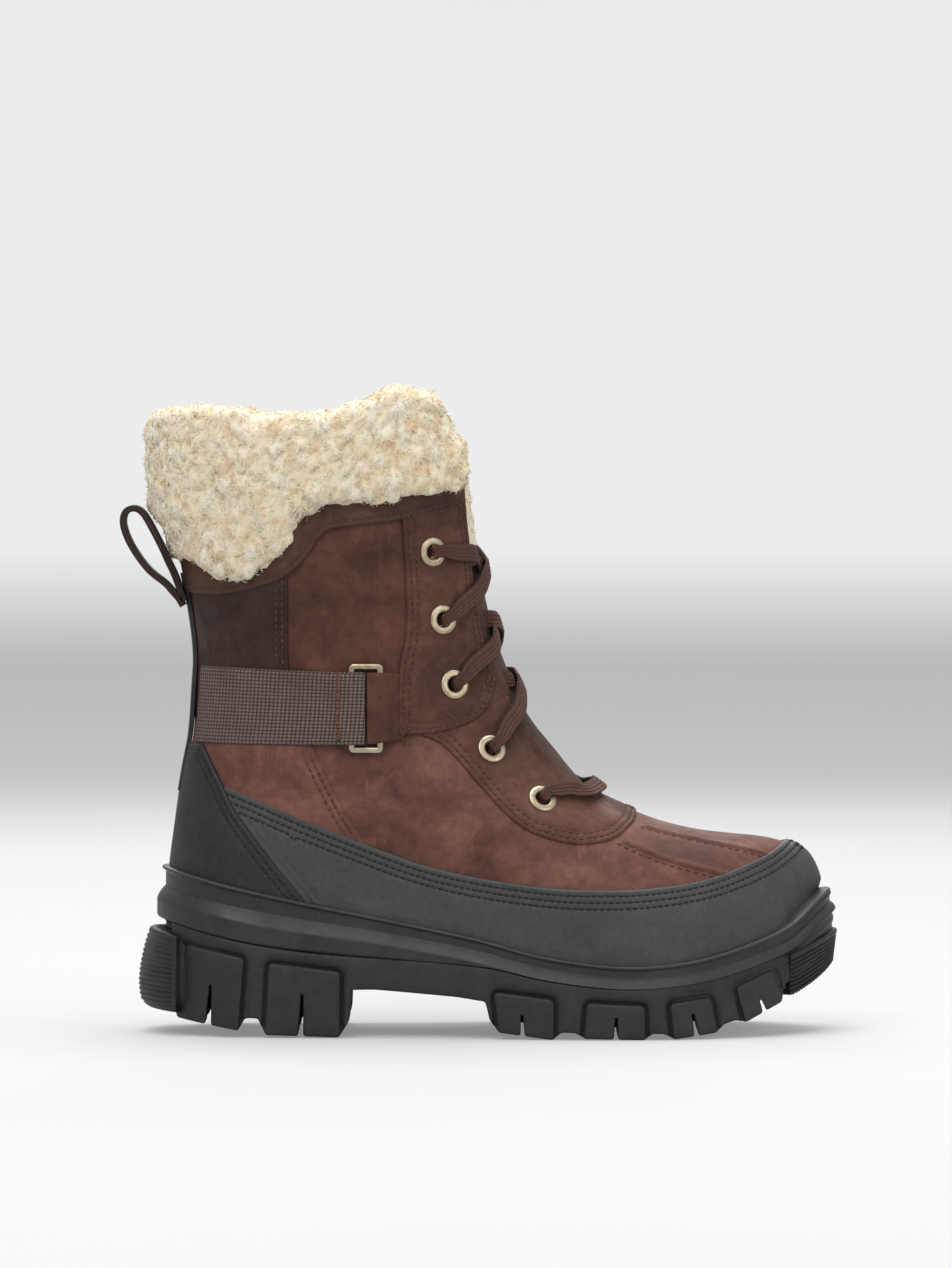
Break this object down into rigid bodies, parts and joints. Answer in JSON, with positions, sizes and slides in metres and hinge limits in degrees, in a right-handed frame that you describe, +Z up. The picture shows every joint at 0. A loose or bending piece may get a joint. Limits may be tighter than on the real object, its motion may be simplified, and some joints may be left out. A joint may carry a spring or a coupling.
{
  "type": "winter boot",
  "caption": "Insulated lace-up winter boot with a lugged rubber sole, leather upper, shearling cuff and a webbing strap round the heel.",
  "frame": {"origin": "on the ground, in the middle of the flat tread pad under the heel", "axes": "+X towards the toe, +Z up, +Y towards the inner (medial) side of a right foot"},
  "size_m": [0.2958, 0.1089, 0.2649],
  "materials": {
    "outsole": "satin black moulded rubber",
    "midsole": "closed-cell foam",
    "shank": "spring steel strip",
    "insole_board": "fibre board",
    "footbed_foam": "moulded foam",
    "footbed_cover": "fleece",
    "fleece_lining": "fleece pile",
    "insulated_bootie": "laminated felt and waterproof film",
    "heel_counter": "stiff board",
    "toe_puff": "stiff board",
    "vamp": "oiled nubuck, red-brown",
    "rear_quarter_lateral": "oiled nubuck, red-brown",
    "rear_quarter_medial": "oiled nubuck, red-brown",
    "shaft_rear_lateral": "oiled nubuck, dark brown",
    "shaft_rear_medial": "oiled nubuck, dark brown",
    "shaft_front_lateral": "oiled nubuck, dark brown",
    "shaft_front_medial": "oiled nubuck, dark brown",
    "eyestay_lower": "oiled nubuck, dark brown",
    "eyestay_upper_lateral": "oiled nubuck, dark brown",
    "eyestay_upper_medial": "oiled nubuck, dark brown",
    "collar_band_lateral": "oiled nubuck, dark brown",
    "collar_band_medial": "oiled nubuck, dark brown",
    "foxing_front": "rubber-coated leather, matt",
    "foxing_heel": "rubber-coated leather, matt black",
    "backstay": "rubber-coated strip, matt black",
    "shearling_cuff": "curly shearling pile",
    "pull_loop": "folded leather strip",
    "tongue": "oiled leather",
    "tongue_shearling": "curly shearling pile",
    "eyelets": "pale brass, satin",
    "eyelet_washers": "pale brass, satin",
    "lace": "flat braided cord",
    "lace_aglets": "crimped tip",
    "strap_lateral": "ribbed webbing",
    "strap_medial": "ribbed webbing",
    "ring_lateral": "pale brass, satin",
    "ring_medial": "pale brass, satin",
    "ring_tab_lateral": "oiled nubuck, dark brown",
    "ring_tab_medial": "oiled nubuck, dark brown"
  },
  "bodies": {
    "boot": {"outsole": "outsole", "midsole": "midsole", "shank": "shank", "insole_board": "insole_board", "fleece_lining": "fleece_lining", "insulated_bootie": "insulated_bootie", "heel_counter": "heel_counter", "toe_puff": "toe_puff", "vamp": "vamp", "rear_quarter_lateral": "rear_quarter_lateral", "rear_quarter_medial": "rear_quarter_medial", "shaft_rear_lateral": "shaft_rear_lateral", "shaft_rear_medial": "shaft_rear_medial", "shaft_front_lateral": "shaft_front_lateral", "shaft_front_medial": "shaft_front_medial", "eyestay_lower": "eyestay_lower", "eyestay_upper_lateral": "eyestay_upper_lateral", "eyestay_upper_medial": "eyestay_upper_medial", "collar_band_lateral": "collar_band_lateral", "collar_band_medial": "collar_band_medial", "foxing_front": "foxing_front", "foxing_heel": "foxing_heel", "backstay": "backstay", "shearling_cuff": "shearling_cuff", "eyelets": "eyelets", "eyelet_washers": "eyelet_washers", "lace": "lace", "lace_aglets": "lace_aglets", "strap_lateral": "strap_lateral", "strap_medial": "strap_medial", "ring_tab_lateral": "ring_tab_lateral", "ring_tab_medial": "ring_tab_medial"},
    "tongue_body": {"tongue": "tongue", "tongue_shearling": "tongue_shearling"},
    "pull_loop_body": {"pull_loop": "pull_loop"},
    "ring_lateral_body": {"ring_lateral": "ring_lateral"},
    "ring_medial_body": {"ring_medial": "ring_medial"},
    "footbed_body": {"footbed_foam": "footbed_foam", "footbed_cover": "footbed_cover"}
  },
  "joints": [
    {"name": "tongue_open", "type": "hinge", "parent": "boot", "child": "tongue_body", "pos_m": [0.14155, 0.0012, 0.09226], "axis": [0, -1, 0], "range_deg": [0, 8]},
    {"name": "pull_loop_fold", "type": "hinge", "parent": "boot", "child": "pull_loop_body", "pos_m": [-0.0346, 0, 0.184], "axis": [0, -1, 0], "range_deg": [0, 40]},
    {"name": "ring_lateral_swing", "type": "hinge", "parent": "boot", "child": "ring_lateral_body", "pos_m": [0.0503, -0.04103, 0.13533], "axis": [0, -0.0191, 0.9998], "range_deg": [-2, 2]},
    {"name": "ring_medial_swing", "type": "hinge", "parent": "boot", "child": "ring_medial_body", "pos_m": [0.0503, 0.04064, 0.13533], "axis": [0, 0.0191, 0.9998], "range_deg": [-2, 2]},
    {"name": "footbed_lift", "type": "hinge", "parent": "boot", "child": "footbed_body", "pos_m": [0.215, 0.006, 0.044], "axis": [0, 1, 0], "range_deg": [0, 6]}
  ]
}
